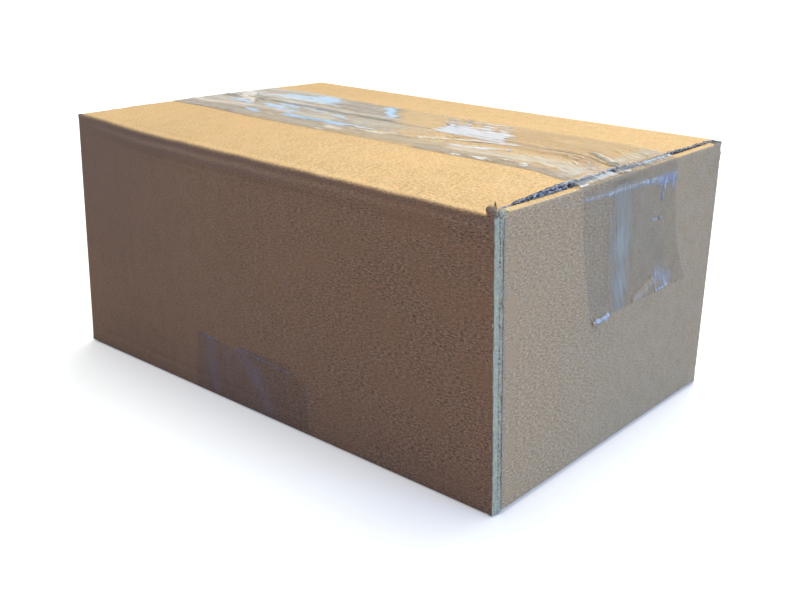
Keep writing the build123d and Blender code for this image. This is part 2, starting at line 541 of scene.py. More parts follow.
def torn_finish():
    """Raw flap ends: pale torn liner and flutes under a darker lip, with painted shade in the crevices
    and towards the foot.
    """
    make = Finish("torn_paper")
    blank = make.field("blank")
    strands = make.noise(blank, 1.5, 4.0, 0.7, (0.6, 0.5, 1.4))
    fuzz = make.noise(blank, 2.6, 4.0, 0.7)
    level = make.part(blank, "Z")
    depth = level + (strands - 0.5) * 3.2
    lip = (1 - abs(level - LIP_DEPTH).above(0.2, 0.6)) * (1 - make.part(blank, "Y").above(106, 114))
    # Painted shade: the crevice between the liners and the foot of the raw end are darkened
    crevice_shade = 1 - abs(depth - 1.2).above(0.05, 0.5)
    foot = depth.above(1.5, 2.2) * (1 - depth.above(2.5, 2.9))
    pale = strands * 0.65 + fuzz * 0.65 - crevice_shade * 0.27 - foot * 0.09 - lip * 0.13
    pale = pale + (0 - depth).clip() * 0.05 + 0.015
    colour = make.blend(pale.above(0.46, 0.55), HOLLOW_SHADE, HOLLOW_GREY)
    colour = make.blend(pale.above(0.56, 0.62), colour, TORN_PALE)
    return make.done(make.paper(colour, 0.9, make.bump(fuzz, 0.0004)))


def cut_finish():
    """The glued corner's cut edge: pale fuzzy paper, and painted shade in the open flutes beside the
    inner liner.
    """
    make = Finish("cut_edge")
    blank = make.field("blank")
    fuzz = make.noise(blank, 1.2, 4.0, 0.75)
    dots = make.noise(blank, 1.5, 3.0, 0.7, (0.0, 1.0, 0.0))
    open_places = make.noise(blank, 0.09, 2.0, 0.6, (0.0, 1.0, 0.0))
    depth = make.part(blank, "Z") + (fuzz - 0.5) * 0.5
    line = 1 - abs(depth - 2.0).above(0.02, 0.30)
    strands = make.noise(blank, 1.6, 3.0, 0.7, (1.0, 0.25, 1.6))
    colour = make.blend((fuzz * 0.5 + strands * 0.5).above(0.40, 0.60), CUT_GREY, CUT_PALE)
    # Painted shade in the open flutes
    hole_shade = line * dots.above(0.42, 0.56) * (0.15 + open_places.above(0.36, 0.56) * 0.85)
    colour = make.blend(hole_shade.clip(), colour, HOLLOW_SHADE)
    return make.done(make.paper(colour, 0.9, make.bump(fuzz, 0.0004)))


def tape_finish(name):
    """Clear film: seen through where it sticks, hazy or streaked where it has let go, with painted
    reflections, highlights and shade in the colour of its marks and haze.
    """
    make = Finish(name)
    strip = make.field("strip")
    # Haze and marks carry painted reflections, highlights and shade as well as the film's own milkiness
    haze_and_reflection, haze_share = make.field("haze_and_reflection", "Color"), make.field("haze_and_reflection", "Alpha")
    mark, mark_share = make.field("mark", "Color"), make.field("mark", "Alpha")
    streaks = make.noise(strip, 0.75, 4.0, 0.65, (0.10, 1.0, 1.0))
    fine = make.noise(strip, 0.9, 3.0, 0.65, (0.25, 2.4, 1.0))
    outside = 1 - make.node("ShaderNodeNewGeometry", output="Backfacing")
    normal = make.bump(streaks * 0.7 + fine * 0.3, 0.00025, 0.5)
    comb = mark_share + (streaks - 0.5) * 1.2 + (fine - 0.5) * 1.0
    veil = comb.above(0.24, 0.95) * mark_share.above(0.02, 0.35) * (0.60 + fine * 0.6).clip()
    share = (haze_share * (0.55 + streaks * 0.9)).clip()
    streaked = make.blend(fine.above(0.46, 0.62) * 0.35, haze_and_reflection, FILM_PALE)
    streaked = make.blend((1 - streaks).above(0.52, 0.64) * 0.35, streaked, FILM_DARK)
    film = make.node("ShaderNodeBsdfPrincipled", (), {
        "Base Color": make.blend(veil, streaked, mark),
        "Roughness": 0.45,
        "Specular IOR Level": 0.2,
        "Normal": normal,
    })
    clear = make.node("ShaderNodeBsdfTransparent", (), {"Color": FILM_CLEAR})
    solid = (share + veil - share * veil) * outside
    body = make.node("ShaderNodeMixShader", (), {0: solid, 1: clear, 2: film})
    gloss = make.node("ShaderNodeBsdfGlossy", (), {"Roughness": 0.14, "Normal": normal})
    sheen = make.node("ShaderNodeFresnel", (), {"IOR": 1.45, "Normal": normal})
    return make.done(make.node("ShaderNodeMixShader", (), {0: sheen * outside * 0.2, 1: body, 2: gloss}))


# The carton

RAW_RIM = [0, 0.15, 0.24, 0.38, 0.52, 0.68, 0.84, 1]


def carton_mesh():
    """The sheet with its slots, folded: one closed mesh with both liners and the hollow between them."""
    flap = WIDTH / 2 - SEAM_GAP / 2
    spans = [(TURNS[corner], REACH) for corner in (LEFT, FAR, RIGHT, TAB)]
    spans += [(middle, RAW_END) for middle in (NEAR_MIDDLE, FAR_MIDDLE)]
    spans += [(TURNS[corner] + WIDTH / 2, RAW_SIDE) for corner in (LEFT, RIGHT)]
    u_stops = {*TURNS, *(middle + side * reach for middle, reach in spans for side in (-1, 1))}
    us = spaced(sorted(u_stops), *BOARD_LINES)
    v_stops = [-flap, -SHORT_REACH, -REACH, 0, REACH, TAB_SETBACK, HEIGHT - TAB_SETBACK, HEIGHT - REACH]
    v_stops += [HEIGHT, HEIGHT + REACH]
    vs = spaced(v_stops, *BOARD_LINES)
    top_stops = [HEIGHT + REACH, HEIGHT + SHORT_REACH, HEIGHT + flap]
    vs = np.concatenate([vs, spaced(top_stops, *TOP_FLAP_LINES)[1:]])
    u, v = np.meshgrid((us[1:] + us[:-1]) / 2, (vs[1:] + vs[:-1]) / 2, indexing="ij")
    leg = leg_of(u)
    x, y = plan(u)
    panel = (v > 0) & (v < HEIGHT)
    long_flap = np.isin(leg, (NEAR, FAR)) & (np.abs(x) < RAW_END)
    short_flap = np.isin(leg, (LEFT, RIGHT)) & (np.abs(y) < RAW_SIDE)
    short_flap &= (v > -SHORT_REACH) & (v < HEIGHT + SHORT_REACH)
    tab = (v > TAB_SETBACK) & (v < HEIGHT - TAB_SETBACK)
    on = (panel & (u < TURNS[TAB] + REACH)) | long_flap | short_flap | (tab & (leg == TAB))

    def recess(u, v, share):
        """Liners torn back or standing out, and the crushed flutes behind them."""
        cut = u < 1
        hollow = np.where(cut, CUT_HOLLOW, HOLLOW) * (0.15 < share < 1)
        crumpled = 0.45 * hollow * ragged(v + 11 * share, 1.3, int(20 * share) + 3)
        frayed = FRAY * (ragged(v, 1.1, 4) + 0.7 * ragged(v, 3.1, 5)) * (share < 0.2)
        return hollow + crumpled - frayed * np.where(cut, 0.4, 1) - np.where(cut, CUT_SLANT * share, 0)

    def spot(u, v, share):
        """The sheet, with the flaps' torn liners lifted and the corner's cut edge kept upright."""
        spots = place(u, v, share * BOARD)
        torn = smooth(np.abs(spots[:, 0]), RAW_END - 1.3, RAW_END) * (v > HEIGHT + REACH + 1)
        torn = torn * np.where(spots[:, 0] > 0, 1, 0.3)
        raised = 0.08 + 0.30 * hump(spots[:, 1], -27, 15)
        spots[:, 2] += torn * (0.24 * ragged(v + 7 * share, 1.5, 71) + 0.12 * ragged(v, 0.9, 72) + raised)
        cut_end = 1 - smooth(u, 1.0, 2.2)
        upright = cut_end * smooth(v, HEIGHT - 9, HEIGHT - 3) * (v < HEIGHT + 0.5)
        standing = cut_end * (1 - smooth(v, 3, 9)) * (v > -0.5)
        spots[:, 1] = lerp(spots[:, 1], share * TAB_INSET - WIDTH / 2, upright + standing)
        spots[:, 2] = lerp(spots[:, 2], v - HEIGHT + SHORT_TOP - 0.3, upright)
        spots[:, 2] = lerp(spots[:, 2], np.maximum(v, 0), standing)
        return spots

    return sheet(us, vs, on, spot, RAW_RIM, recess)


# Faint creases in the near top flap, in X and Y: both ends, half width, strength
FLAP_CREASES = [
    (-40, -53, -47, -46, 0.8, 0.3), (-47, -46, -45, -38, 0.7, 0.25), (-60, -50, -52, -38, 0.8, 0.15),
    (-72, -40, -58, -33, 0.7, 0.12),
]


def board_wear_and_shading(u, v, share):
    """Darker, paler, warmer and coarser places of the outer liner, as a colour's four channels, with
    painted shade and painted highlights along the folds.
    """
    along, past = lengthwise(u), v - HEIGHT
    x, y = plan(u, np.maximum(past, 0))
    leg = leg_of(u)
    outer, panel, near = share < 0.5, past < 0, leg == NEAR
    # Painted shade and painted highlights along the folds and the pressed lines below them, frayed paper
    # beside the cut edge, creases
    fade = 1 - 0.7 * smooth(x, 0, 35)
    started = smooth(x, LEFT_END + 4, LEFT_END + SAG_START)
    # Painted shade: dark lines in the fold's curve and in the pressed line below it
    dark = along * (0.06 * hump(past, -1.1, 0.6) + 0.15 * started * hump(past, -6.4, 0.8))
    dark = dark * (0.8 + 0.4 * waver(x, 17, 51))
    # Painted highlights: paler bands down the fold's curve and on the pressed line, and on the short
    # panels' fold crest
    fold_highlights = 0.30 * hump(past, -1.5, 1.2) + fade * 0.36 * hump(past, -4.0, 1.3)
    pale = along * started * fold_highlights + (1 - along) * 0.25 * hump(past, 0.4, 0.9)
    fringe = 0.6 * (1 - smooth(u, 0.2, 1.1)) + 0.75 * hump(u, TURNS[TAB], 1.5)
    pale = pale + fringe * (0.7 + 0.5 * ragged(v, 0.9, 57)) * panel
    for corner in (FAR, RIGHT):
        pale = pale + 0.25 * hump(u, TURNS[corner], 0.9) * panel
    for *line, width, strength in FLAP_CREASES:
        pale = pale + strength * along_line(x, y, line, width) * (past > 0)
    # Browner beside the glued corner, greyer at the far left of the long panel
    patches = smooth(waver(y, 9, 52) + waver(v, 13, 53), 0.1, 1.2)
    warm = (leg == RIGHT) * (0.5 * smooth(-y, -5, 45) + 0.5 * smooth(-y, 36, 52) * patches)
    drift = waver(0.8 * x + 0.6 * v, 31, 54) + waver(0.5 * x - 0.9 * v, 23, 55)
    drift = drift + waver(0.3 * x + v, 17, 56)
    warm = warm + near * smooth(x, -30, 70) * (0.25 + 0.4 * smooth(drift, -1.0, 1.6))
    leftward = near * panel * smooth(-x, 10, 80)
    pale = pale + 0.42 * leftward * smooth(v, 5, 70)
    dark = dark + 0.06 * leftward
    # Darker on the panels and towards the far end of the top, coarser towards the glued corner
    dark = dark + np.where(panel, 0.16, 0.24 * smooth(-x, -75, 75))
    away = np.hypot(x - LENGTH / 2, y + WIDTH / 2)
    panels = np.where(near, 1.3 * (1 - smooth(away, 0, 130)), 1.45 * (1 - smooth(away, 0, 65)))
    coarse = np.where(panel, panels, 0.28 * (1 - smooth(away, 30, 150)))
    wear_and_shading = np.stack([dark, pale, warm * panel, coarse], axis=-1)
    return np.clip(wear_and_shading * outer[:, None], 0, 1.5)


def build_carton():
    points, faces, steps, flat = carton_mesh()
    cut = (steps >= 0) & (flat[faces][:, :, 0].max(axis=1) < CUT_END)
    which = np.select([steps < 0, cut], [0, 2], 1)
    finishes = [kraft_finish(), torn_finish(), cut_finish()]
    fields = {"blank": flat * (1, 1, BOARD), "wear_and_shading": board_wear_and_shading(*flat.T)}
    piece("carton_board", points, faces, finishes, fields, which, "carton")


# Tape

# Tones of the film: what it reflects, as painted reflections and highlights, painted shade in its creases
# and where it dips into the seam, and what it hides
SKY_REFLECTION = (0.38, 0.61, 0.88)
MILKY_REFLECTION = (0.53, 0.65, 0.80)
LILAC_REFLECTION = (0.66, 0.69, 0.78)
WHITE_HIGHLIGHT = (0.84, 0.83, 0.78)
GLINT = (0.98, 0.90, 0.80)
CREAM = (0.73, 0.62, 0.47)
BLUSH = (0.70, 0.58, 0.51)
ASH = (0.54, 0.49, 0.43)
STONE = (0.44, 0.37, 0.28)
DUSK = (0.29, 0.235, 0.185)
BARK = (0.55, 0.33, 0.12)
UMBER = (0.28, 0.18, 0.09)
SLATE_SHADE = (0.20, 0.24, 0.27)
SHADE = (0.10, 0.10, 0.105)
SAND = (0.50, 0.40, 0.25)
AMBER = (0.58, 0.32, 0.05)
NOTCH_SHADE = (0.10, 0.11, 0.12)

# Soft haze in the lengthwise strip on the top, by tone: both ends of a line, half width, strength
TOP_HAZE = {
    ASH: [
        (-88, 15, -48, 15, 14, 0.62), (-84, -1.5, -62, -3.5, 4.5, 0.8), (-56, 4.6, 2, 4.2, 2.6, 0.65),
        (-86, 27, -46, 25.5, 4, 0.75), (-86, 15, -70, 10, 7, 0.7), (-60, 10, -46, 8, 5, 0.6),
        (80.5, -18, 81.5, -6, 2.6, 0.4),
    ],
    STONE: [
        (-88, -9, -8, -9, 12, 0.5), (-48, -18, -8, -19.5, 4, 0.6), (-60, -3.5, 2, -6.5, 7, 0.65),
        (-2, -4.5, 9, -4.5, 6, 0.5), (81.5, 24, 82, 6, 3, 0.65),
    ],
    DUSK: [
        (-88, -16, -48, -18, 4.2, 0.8), (-34, 19, -15, 17.5, 7, 0.9), (-30, 10.5, -5, 9, 4, 0.8),
        (34, -20, 82, -20.5, 3, 0.6),
    ],
    BLUSH: [(-88, -9, -54, -9.8, 3.4, 0.85), (-54, -9.8, -34, -9.2, 2.2, 0.7)],
    CREAM: [
        (-32, -9.4, -14, -8.8, 2.2, 0.55), (4, -6, 22, -4, 5, 0.3), (42, -15, 60, -14.5, 3.8, 0.6),
        (64, -13, 80, -12.5, 4.2, 0.6),
    ],
    SAND: [(-4, -18, 36, -16, 5, 0.6)],
    BARK: [(34, -2, 78, -2.5, 3.2, 0.55)],
    AMBER: [(42, 15, 76, 14, 11, 0.5), (62, 14, 77, 12, 9, 0.5)],
}

# Streaks where it has let go, painted reflections and highlights, and painted shade, with ends combed out
# along it
TOP_MARKS = {
    CREAM: [
        (-84, -9.6, -60, -10.6, 1.6, 0.6), (-7, -17.4, -2, -18, 2.2, 0.8),
        (-6, -21, -2, -21.6, 1.3, 0.75), (-22, -2.6, 0, -8.4, 0.8, 0.5), (5, -15, 23, -12.3, 1, 0.95),
        (23, -12.3, 32, -8.8, 1, 0.95), (32, -8.8, 44, -4.2, 1, 0.9), (29, -7.6, 38, -6.6, 0.9, 0.8),
        (52, 2, 62, 1, 0.8, 0.6), (44, -16.5, 62, -15.5, 1.1, 0.6), (62, -11.5, 76, -10.6, 0.9, 0.6),
        (66, -14.6, 80, -15.2, 1, 0.65), (70, -2, 80, -7, 0.7, 0.7), (72, -5, 81, -11, 0.8, 0.7),
        (75, -1.6, 81.5, -5, 0.7, 0.7), (80, -18, 82, -6, 0.9, 0.65), (83, -20, 83.6, -4, 1.2, 0.7),
        (74, 5.4, 84, 3.4, 1.1, 0.9), (79, 22, 80.5, 8, 1.1, 0.6), (83.2, 26, 83.6, 4, 0.9, 0.75),
        (-77, 6.6, -72, 6.2, 0.9, 0.9),
    ],
    SKY_REFLECTION: [
        (-50, 21.6, -40, 21, 2.6, 1), (-64, 18.5, -38, 17.4, 2.8, 1), (-45, -1.2, -37, -1.6, 1.5, 0.95),
        (-50, -5, -43, -5.6, 2, 0.95), (-40, -6.8, -32, -8, 1.2, 0.9),
        (-48.5, -13.6, -43, -14.6, 2, 0.95), (-16.5, -3.4, -12.5, -5.2, 1.7, 0.9),
        (-31.5, -12.9, -3, -12.2, 2.1, 1), (-16.5, 22.6, -2, 7.2, 2.6, 1),
        (-67, -2.8, -58, -5.6, 1.6, 1),
    ],
    MILKY_REFLECTION: [
        (-70, 15.2, -36, 13.4, 2.6, 0.85), (-58, 11.6, -32, 10.4, 2.2, 0.85),
        (-43, -4, -34, -4.6, 1.6, 0.6), (-37.5, -13.8, -35.5, -15.4, 1.4, 0.6),
        (-33, -1.4, -22, -2.8, 2, 0.65), (-3, -12.2, 7, -12, 1.4, 0.8),
        (10, -9.2, 17, -10.8, 1.3, 0.75), (-73, -1, -68, -2.4, 2, 0.85),
    ],
    BLUSH: [(-12, -15, 4, -14.6, 1.1, 0.6), (-20, 2.6, 3, 2.6, 0.9, 0.6)],
    SLATE_SHADE: [
        (-57, 2.2, -36, 0.8, 2, 0.7), (-36, 0.5, -15, 0.3, 1.2, 0.8), (-82, 4, -78, 4.6, 1.6, 1),
        (-74, 8.4, -65, 7.2, 1, 0.8),
    ],
    SHADE: [(-16, 0.3, 5, 0.2, 1.2, 1), (-62, 1.8, -56, -0.2, 1.3, 1)],
    DUSK: [(5, 0.2, 12, 0.5, 1, 0.55)],
    UMBER: [
        (28, -6.2, 42, -4, 0.6, 0.6), (34, -10.5, 48, -6.4, 0.5, 0.6), (36, -0.2, 60, 0, 0.6, 0.85),
        (60, 0, 80, 0.6, 0.6, 0.85),
    ],
    LILAC_REFLECTION: [
        (41, -4.4, 53.5, -2.6, 1.5, 1), (39, -12.6, 46, -11.4, 1.1, 1), (46, -11.4, 55, -8.8, 1.3, 1),
    ],
    WHITE_HIGHLIGHT: [
        (47, -20.8, 50, -20.9, 1, 0.85), (53.5, -19.6, 58, -21, 1.3, 1),
        (58.5, -20.8, 61, -20.9, 0.8, 0.75), (67, -18.2, 70, -20.2, 1.2, 0.9),
        (60, -17.8, 63.5, -17.6, 0.7, 0.8), (76, 5.6, 84, 3.4, 0.6, 1),
    ],
    NOTCH_SHADE: [(76, 4, 86.5, 0.2, 1.3, 1)],
    GLINT: [
        (-66.6, 0.2, -58, -3, 1.3, 1), (-80.5, 9.8, -74, 11, 1.5, 1), (-72, 3.4, -67.6, 2.4, 1.2, 1),
    ],
    STONE: [(-70.6, 1.4, -69, 0, 1, 0.9)],
}

# Ridges in the same film: both ends, half width, height
TOP_RIDGES = [
    (-58, 2, -20, 0.6, 1, 0.3), (-20, 0.6, 40, 0.4, 0.8, 0.2), (40, 0.4, 84, 1, 0.7, 0.25),
    (-84, -9.8, -40, -9.8, 1.8, 0.22), (-31, -12.8, 0, -12.4, 1, 0.25), (5, -15, 32, -9, 0.7, 0.22),
    (-66, 8, -30, 7, 1, 0.25), (-36, 22, -6, 20, 1, 0.2), (10, 12, 48, 4, 1, 0.22),
    (22, 16, 52, 9, 0.8, 0.2), (30, -5, 62, -7, 0.9, 0.22), (34, -16, 70, -18.5, 0.9, 0.22),
    (50, -21, 72, -20, 0.8, 0.2), (66, -11, 82, -2, 0.9, 0.35), (70, -16, 82.5, -3, 0.9, 0.35),
    (75, -19, 83.5, -5, 0.8, 0.35), (62, -6, 81, -1, 0.8, 0.3), (74, 4.8, 84, 2.6, 0.9, 0.45),
    (76, 14, 84, 9, 0.8, 0.25), (78, 22, 84, 17, 0.8, 0.25), (-67, 0.8, -57.5, -2.4, 1.3, 0.75),
    (-80.5, 10.6, -73.5, 11.8, 1.5, 0.95), (-72.5, 3.8, -67.4, 2.8, 1.3, 0.75),
    (-82.5, 4.4, -78, 5, 1, 0.5), (-62, 2.2, -56, 0.4, 0.8, 0.4), (-74, -1.4, -68, -2.6, 1, 0.4),
    (-70, 9, -60, 5, 0.9, 0.4),
]


def glare(x, y):
    """The big painted reflection: whole beside the seam, and broken into flecks away from it."""
    left, right = 23.5 - 0.56 * y, 49.5 - 0.58 * y
    inside = smooth(x, left - 1.5, left + 1.5) * smooth(-x, -right - 1.5, 1.5 - right)
    inside = inside * smooth(y, -2.6, -1.0) * smooth(-y, -25, -22)
    flecks = waver(x + 0.7 * y, 7, 61) + waver(y - 0.15 * x, 4.6, 62)
    return inside * np.clip(1.10 - smooth(y, 3, 19) * (0.75 - 0.75 * flecks), 0, 1)


def combed(x, y):
    """The strip's own place, shifted so that the streaks of its film waver and end in combs."""
    along = x + 2.0 * ragged(y, 0.8, 41) + 1.5 * waver(y + 0.1 * x, 3.3, 42)
    across = y + 0.5 * waver(x, 17, 43) + 0.25 * waver(x + 4 * y, 6, 44)
    return along, across


def marked(x, y, marks, more=()):
    """Colour and strength at each point, of marks by tone and of more layers of strength and tone."""
    layers = list(more)
    for tone, lines in marks.items():
        for *line, width, strength in lines:
            layers.append((along_line(x, y, line, width) * strength, tone))
    colour, weight, clear = np.zeros(x.shape + (3,)), np.full(x.shape, 1e-6), np.ones(x.shape)
    for strength, tone in layers:
        colour += strength[..., None] ** 2 * np.array(tone)
        weight += strength**2
        clear *= 1 - strength
    return np.concatenate([colour / weight[..., None], (1 - clear)[..., None]], axis=-1)


def ridged(x, y, ridges):
    """Height of the film's creases above the board."""
    lift = np.zeros(x.shape)
    for *line, width, height in ridges:
        lift = np.maximum(lift, height * along_line(x, y, line, width))
    return lift


# The end of the lengthwise strip on the +X panel, in Y and Z; its blue tone is a painted highlight
PALE = (0.86, 0.84, 0.68)
BLUE_HIGHLIGHT = (0.72, 0.73, 0.70)
MILK = (0.75, 0.66, 0.43)
BARE = (0.88, 0.60, 0.29)
FACE_HAZE_AND_HIGHLIGHTS = {
    MILK: [
        (-0.4, 74, -0.4, 60, 5.8, 0.55), (-0.4, 60, 0, 48, 5, 0.55), (0, 48, 0.4, 40, 4.2, 0.5),
        (8, 72, 6, 52, 1.2, 0.2), (-6.6, 70, -6.4, 44, 0.6, 0.25), (12, 66, 14, 50, 4, 0.14),
        (-16, 52, -9, 42, 4, 0.12), (18, 58, 21, 50, 3, 0.16),
    ],
    PALE: [
        (-20, 75, -6, 74.7, 0.7, 0.35), (-6, 74.7, 12, 74.8, 0.8, 0.35),
        (10, 74.6, 19, 74.2, 1.2, 0.45), (20, 46, 27, 43.5, 2.6, 0.45), (-20, 77.2, 27, 78, 1.3, 0.4),
    ],
    # Painted highlights on lifted film
    BLUE_HIGHLIGHT: [(19, 74, 27.6, 73.8, 1.8, 0.55), (26.4, 74, 26.8, 70.6, 1, 0.45)],
    BARE: [(9, 41.4, 15, 43.4, 2, 0.95), (13, 42, 18, 44.6, 1.9, 0.95)],
}
FACE_MARKS = {
    PALE: [
        (-20, 75, -6, 74.7, 0.45, 0.55), (-6, 74.7, 12, 74.8, 0.5, 0.55),
        (12, 74.8, 20, 74.4, 0.6, 0.6), (-8, 74.4, -4, 74, 0.5, 0.6), (2, 74.2, 8, 73.8, 0.5, 0.55),
        (11, 74.6, 17, 73.2, 0.5, 0.6), (15.2, 63, 21, 62.9, 1, 0.6), (19, 47, 20.6, 40.8, 0.6, 0.7),
        (23, 46.5, 26.6, 41.5, 0.5, 0.55), (21, 41, 28, 41.2, 0.6, 0.8), (24, 44.6, 7, 41.5, 0.5, 0.45),
        (33, 48.1, 27, 44.6, 0.5, 0.55), (-20.2, 74, -17.5, 54, 0.4, 0.5),
        (-17.5, 54, -12.5, 39, 0.4, 0.5),
    ],
    # Painted highlights on lifted film and its wrinkles
    BLUE_HIGHLIGHT: [
        (21.9, 73.6, 20.4, 68.4, 0.7, 1), (26.2, 74.2, 26.8, 71, 0.9, 0.55),
        (17, 73.8, 24, 72.4, 0.6, 0.55), (-13.4, 40.2, -6, 41, 0.9, 0.95),
    ],
}
FACE_RIDGES = [
    (-20, 74.8, 18, 74.6, 0.6, 0.2), (18, 74.6, 28, 74.4, 1.2, 0.25), (-13, 39.5, -6, 40.4, 1.6, 0.9),
    (33.5, 48.6, 7, 41.5, 0.6, 0.2), (19, 47, 21, 40.6, 0.8, 0.3), (1, 73, 0.8, 43, 3, 0.12),
]

# The same strip between the flap's raw end and the panel, in Y and distance past the raw end. Its tones
# are painted reflections and highlights over the raw end, with painted shade at the notch's foot
NEAR_TENT_REFLECTION = (0.32, 0.41, 0.46)
FAR_TENT_REFLECTION = (0.26, 0.35, 0.44)
TENT_GLEAM = (0.62, 0.70, 0.72)
TENT_DULL = (0.60, 0.62, 0.60)
NOTCH_FOOT_SHADE = (0.13, 0.14, 0.15)
TENT_REFLECTIONS = {
    NEAR_TENT_REFLECTION: [(-21, 0.35, -4, 0.35, 0.75, 0.66)],
    FAR_TENT_REFLECTION: [(-2, 0.3, 26, 0.3, 0.65, 0.72)],
    CREAM: [(-20, 1.2, -4, 1.2, 0.4, 0.35)],
}
TENT_MARKS = {
    CREAM: [(-22, 1.6, 27, 1.6, 0.22, 0.7), (-17, 1, 2, 1.1, 0.18, 0.8)],
    GLINT: [
        (-21.3, 1.45, -17, 1.4, 0.3, 1), (24.5, 0.1, 26.3, 0.9, 0.35, 1), (1.6, 1.45, 3.2, 1.5, 0.3, 1),
    ],
    TENT_GLEAM: [(-15, 0.15, -6, 0.35, 0.22, 0.9)],
    MILKY_REFLECTION: [
        (-12, 0.7, -4, 0.6, 0.15, 0.6), (1, 0.2, 12, 0.3, 0.15, 0.75), (9, 0.7, 25, 0.55, 0.15, 0.75),
    ],
    NOTCH_FOOT_SHADE: [(-0.8, 0, 0.8, 1.4, 0.6, 1)],
    TENT_DULL: [(2, 1.15, 26, 1.1, 0.3, 0.55)],
    WHITE_HIGHLIGHT: [(2, 1.75, 27, 1.75, 0.25, 0.6)],
}


def tooth_glints(y, z):
    """Painted highlights on the tips of the cut along the strip's end, brightest where its corner has
    curled up.
    """
    tips = np.abs(np.sin(math.pi * (y + 0.4) / TOOTH_PITCH)) ** 3 * hump(z, cut_line(y) + 0.5, 0.6)
    return tips * np.where(y < -5.5, 1.0, 0.30 + 0.6 * smooth(waver(y, 9, 63), 0, 0.8))


def cut_line(y):
    """Height on the +X panel of the strip's cut end."""
    return 40.2 - 3.2 * np.exp(-np.maximum(y + 12.4, 0) / 3.4)


def strip_y(x, t):
    """Y of a line of the lengthwise strip on the top, with t from 0 at its near edge to 1."""
    near = -22.2 - 0.5 * hump(x, -34, 18) + 4.0 * smooth(-x, 30, 90)
    far = 24.7 + 4.3 * smooth(-x, 24, 72) + 1.2 * smooth(x, 74, RAW_END)
    return lerp(near, far, t)


def seen_end(t, z):
    """Y of a line of the strip on the +X panel, which leans towards +Y on its way down."""
    left = -19.6 + 7.2 * np.clip((75 - z) / 37, 0, 1) ** 1.8
    right = 28.0 + 9.6 * np.clip((78 - z) / 36, 0, 1.1) ** 2.6
    return lerp(left, right, t)


def teeth(t, pitch, depth):
    """The zigzag that the dispenser's blade leaves across a strip."""
    phase = t * TAPE_WIDTH / pitch
    return depth * np.abs(2 * (phase - np.floor(phase)) - 1)


def top_strip_spot(s, t, share):
    """Place in the lengthwise strip: s along it from its middle, t across, share through the film."""
    s, t, share = (np.asarray(c, float) for c in (s, t, share))
    side = np.sign(s)
    past = np.abs(s) - RAW_END
    x = np.clip(s, -RAW_END, RAW_END)
    y = strip_y(x, t)
    z = HEIGHT + crown(x, y) - sag(x, y)
    lift = ridged(x, y, TOP_RIDGES) + BONDED
    lift += 0.05 * (1 + waver(y + 0.02 * x, 2.2, 11)) * (1 + waver(x, 30, 12))
    point = np.stack([x, y, z], axis=-1)
    normal = np.broadcast_to((0.0, 0.0, 1.0), point.shape)

    # Over the raw ends: straight to the short panel's fold, round it and onto the panel
    bend = np.clip(past / TENT_RUN, 0, 1)
    knots = (0, 0.5, 0.62, 0.74, 0.86, 1)
    lean = np.radians(np.interp(bend, knots, (68, 68, 45, 22, 0, 0)))
    centre = LENGTH / 2 - SHORT_RADIUS, short_top(s, y) - SHORT_RADIUS
    round_x = centre[0] + (SHORT_RADIUS + FILM) * np.cos(lean)
    round_z = centre[1] + (SHORT_RADIUS + FILM) * np.sin(lean)
    to_fold = np.clip(bend / knots[1], 0, 1)
    curve_x = lerp(RAW_END, round_x, to_fold)
    curve_z = lerp(z, round_z, to_fold) - (centre[1] - FACE_TOP) * smooth(bend, knots[-2], 1)
    y_top = np.where(side > 0, seen_end(t, FACE_TOP), strip_y(-RAW_END, t))
    tent_y = lerp(y, y_top, bend)
    over = past > 0
    point = np.where(over[..., None], np.stack([side * curve_x, tent_y, curve_z], axis=-1), point)
    bent = np.stack([side * np.cos(lean), np.zeros_like(x), np.sin(lean)], axis=-1)
    normal = np.where(over[..., None], bent, normal)
    pleats = 0.12 * (1 + waver(tent_y, 3.1, 21)) * np.sin(math.pi * np.clip(bend / 0.7, 0, 1))
    lift = np.where(over, BONDED + pleats, lift)

    # Down the short panels to the toothed cut
    down = np.clip((past - TENT_RUN) / (STRIP_RUN - TENT_RUN), 0, 1)
    cut = np.where(side > 0, cut_line(seen_end(t, 40.0)), HIDDEN_CUT + 0.8 * t)
    z_face = lerp(FACE_TOP, cut + teeth(t, TOOTH_PITCH, TOOTH_DEPTH), down)
    y_face = np.where(side > 0, seen_end(t, z_face), y_top)
    swell = SHORT_BULGE * swollen(y_face / (WIDTH / 2), z_face) * smooth(down, 0, 0.08)
    face = np.stack([side * (LENGTH / 2 + swell), y_face, z_face], axis=-1)
    on_face = past > TENT_RUN
    point = np.where(on_face[..., None], face, point)
    face_lift = ridged(y_face, z_face, FACE_RIDGES) * (side > 0)
    lift = np.where(on_face, BONDED + FACE_AIR + face_lift, lift)
    return point + normal * (lift + FILM * (1 - share))[..., None]


def top_looks(x, y, z, s):
    """Haze and marks of the lengthwise strip, with its painted reflections, highlights and shade, on the
    top, over the raw end and on the +X panel.
    """
    past = np.abs(s) - RAW_END
    zones = [(past < 0.3)[:, None], ((x > 0) & (past < TENT_RUN))[:, None], (x > 0)[:, None]]
    hazes_and_reflections = [marked(x, y, TOP_HAZE), marked(y, past, TENT_REFLECTIONS), marked(y, z, FACE_HAZE_AND_HIGHLIGHTS)]
    shifted = combed(x, y)
    marks = [
        marked(*shifted, TOP_MARKS, [(glare(*shifted), LILAC_REFLECTION)]),
        marked(y, past, TENT_MARKS),
        marked(y, z + 0.3 * ragged(y, 1.7, 64), FACE_MARKS, [(tooth_glints(y, z), WHITE_HIGHLIGHT)]),
    ]
    return np.select(zones, hazes_and_reflections, 0), np.select(zones, marks, 0)


